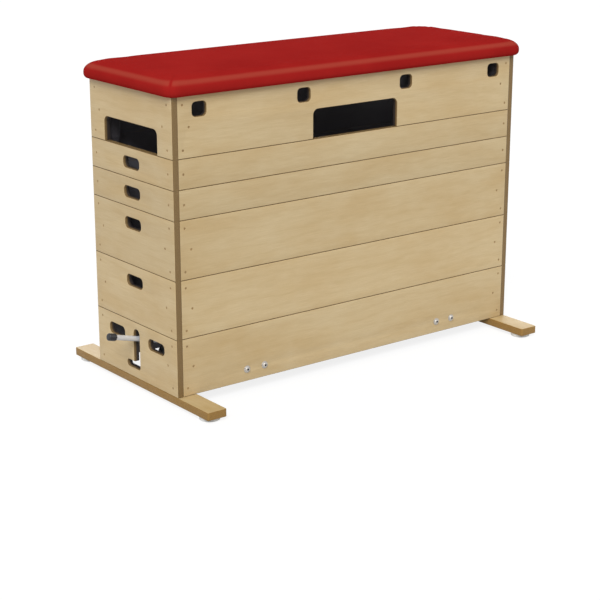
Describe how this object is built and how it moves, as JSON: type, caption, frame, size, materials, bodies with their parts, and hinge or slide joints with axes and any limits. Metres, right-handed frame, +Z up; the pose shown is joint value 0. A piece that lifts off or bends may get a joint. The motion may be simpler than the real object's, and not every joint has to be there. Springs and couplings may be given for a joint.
{
  "type": "vaulting box",
  "caption": "Stacked plywood vaulting box with a padded top, hand holes, two sledge boards, and a hand lever that lowers wheels.",
  "frame": {"origin": "on the floor, under the middle of the whole part's extent", "axes": "+X along the box from the lever end to the far end, +Y across it from the front to the rear, +Z up"},
  "size_m": [1.6394, 0.844, 1.1036],
  "materials": {
    "plywood": "clear-lacquered birch plywood",
    "board_wood": "clear-lacquered laminated board",
    "pad_cover": "satin red coated fabric",
    "foam": "open foam",
    "white_plastic": "satin",
    "grip_plastic": "fine texture",
    "zinc_steel": "zinc-plated",
    "painted_steel": "powder-coated",
    "wheel_rubber": "matt grey rubber"
  },
  "bodies": {
    "base": {"base_lever_end_panel": "plywood", "base_far_end_panel": "plywood", "base_front_panel": "plywood", "base_rear_panel": "plywood", "lever_sledge_board": "board_wood", "lever_front_foot_disc": "white_plastic", "lever_front_bracket": "painted_steel", "lever_front_inner_bolt": "zinc_steel", "lever_front_outer_bolt": "zinc_steel", "lever_rear_foot_disc": "white_plastic", "lever_rear_bracket": "painted_steel", "lever_rear_inner_bolt": "zinc_steel", "lever_rear_outer_bolt": "zinc_steel", "lever_pivot_shaft": "zinc_steel", "far_sledge_board": "board_wood", "far_front_foot_disc": "white_plastic", "far_front_bracket": "painted_steel", "far_front_inner_bolt": "zinc_steel", "far_front_outer_bolt": "zinc_steel", "far_rear_foot_disc": "white_plastic", "far_rear_bracket": "painted_steel", "far_rear_inner_bolt": "zinc_steel", "far_rear_outer_bolt": "zinc_steel", "far_pivot_shaft": "zinc_steel", "front_return_spring": "zinc_steel", "rear_return_spring": "zinc_steel"},
    "section_2": {"section_2_lever_end_panel": "plywood", "section_2_far_end_panel": "plywood", "section_2_front_panel": "plywood", "section_2_rear_panel": "plywood"},
    "section_3": {"section_3_lever_end_panel": "plywood", "section_3_far_end_panel": "plywood", "section_3_front_panel": "plywood", "section_3_rear_panel": "plywood"},
    "section_4": {"section_4_lever_end_panel": "plywood", "section_4_far_end_panel": "plywood", "section_4_front_panel": "plywood", "section_4_rear_panel": "plywood"},
    "section_5": {"section_5_lever_end_panel": "plywood", "section_5_far_end_panel": "plywood", "section_5_front_panel": "plywood", "section_5_rear_panel": "plywood"},
    "top_section": {"top_lever_end_panel": "plywood", "top_far_end_panel": "plywood", "top_front_panel": "plywood", "top_rear_panel": "plywood", "deck_board": "plywood", "foam_pad": "foam", "pad_cover": "pad_cover"},
    "lever_frame": {"lever_lift_frame": "painted_steel", "lever_bar": "zinc_steel", "lever_grip": "grip_plastic"},
    "far_frame": {"far_lift_frame": "painted_steel"},
    "tie_rod": {"tie_rod": "zinc_steel"},
    "front_castor": {"front_castor_fork": "zinc_steel"},
    "lever_front_wheel": {"lever_front_wheel": "wheel_rubber"},
    "far_front_wheel": {"far_front_wheel": "wheel_rubber"},
    "rear_castor": {"rear_castor_fork": "zinc_steel"},
    "lever_rear_wheel": {"lever_rear_wheel": "wheel_rubber"},
    "far_rear_wheel": {"far_rear_wheel": "wheel_rubber"}
  },
  "joints": [
    {"name": "section_2_lift", "type": "slide", "parent": "base", "child": "section_2", "axis": [0, 0, 1], "range_m": [0, 0.15]},
    {"name": "section_3_lift", "type": "slide", "parent": "section_2", "child": "section_3", "axis": [0, 0, 1], "range_m": [0, 0.15]},
    {"name": "section_4_lift", "type": "slide", "parent": "section_3", "child": "section_4", "axis": [0, 0, 1], "range_m": [0, 0.15]},
    {"name": "section_5_lift", "type": "slide", "parent": "section_4", "child": "section_5", "axis": [0, 0, 1], "range_m": [0, 0.15]},
    {"name": "top_lift", "type": "slide", "parent": "section_5", "child": "top_section", "axis": [0, 0, 1], "range_m": [0, 0.15]},
    {"name": "lever_press", "type": "hinge", "parent": "base", "child": "lever_frame", "pos_m": [-0.38927, 0, 0.0836], "axis": [0, -1, 0], "range_deg": [0, 17.4], "stiffness_Nm_per_rad": 9, "springref_deg": -80.21, "deforming": ["front_return_spring", "rear_return_spring"]},
    {"name": "far_frame_tilt", "type": "hinge", "parent": "base", "child": "far_frame", "pos_m": [0.47673, 0, 0.0836], "axis": [0, 1, 0], "range_deg": [0, 17.4]},
    {"name": "tie_rod_pivot", "type": "hinge", "parent": "lever_frame", "child": "tie_rod", "pos_m": [-0.38322, 0.0688, 0.12314], "axis": [0, -1, 0], "range_deg": [-17.4, 0]},
    {"name": "front_castor_swivel", "type": "hinge", "parent": "lever_frame", "child": "front_castor", "pos_m": [-0.502, -0.14, 0.10845], "axis": [0.299, 0, 0.9542], "continuous": true},
    {"name": "lever_front_wheel_spin", "type": "hinge", "parent": "front_castor", "child": "lever_front_wheel", "pos_m": [-0.48996, -0.14, 0.05322], "axis": [0, 1, 0], "continuous": true},
    {"name": "far_front_wheel_spin", "type": "hinge", "parent": "far_frame", "child": "far_front_wheel", "pos_m": [0.60414, -0.14, 0.06159], "axis": [0, 1, 0], "continuous": true},
    {"name": "rear_castor_swivel", "type": "hinge", "parent": "lever_frame", "child": "rear_castor", "pos_m": [-0.502, 0.14, 0.10845], "axis": [0.299, 0, 0.9542], "continuous": true},
    {"name": "lever_rear_wheel_spin", "type": "hinge", "parent": "rear_castor", "child": "lever_rear_wheel", "pos_m": [-0.48996, 0.14, 0.05322], "axis": [0, 1, 0], "continuous": true},
    {"name": "far_rear_wheel_spin", "type": "hinge", "parent": "far_frame", "child": "far_rear_wheel", "pos_m": [0.60414, 0.14, 0.06159], "axis": [0, 1, 0], "continuous": true}
  ],
  "couplings": [
    {"joint": "far_frame_tilt", "follows": "lever_press", "ratio": 1},
    {"joint": "tie_rod_pivot", "follows": "lever_press", "ratio": -1}
  ]
}
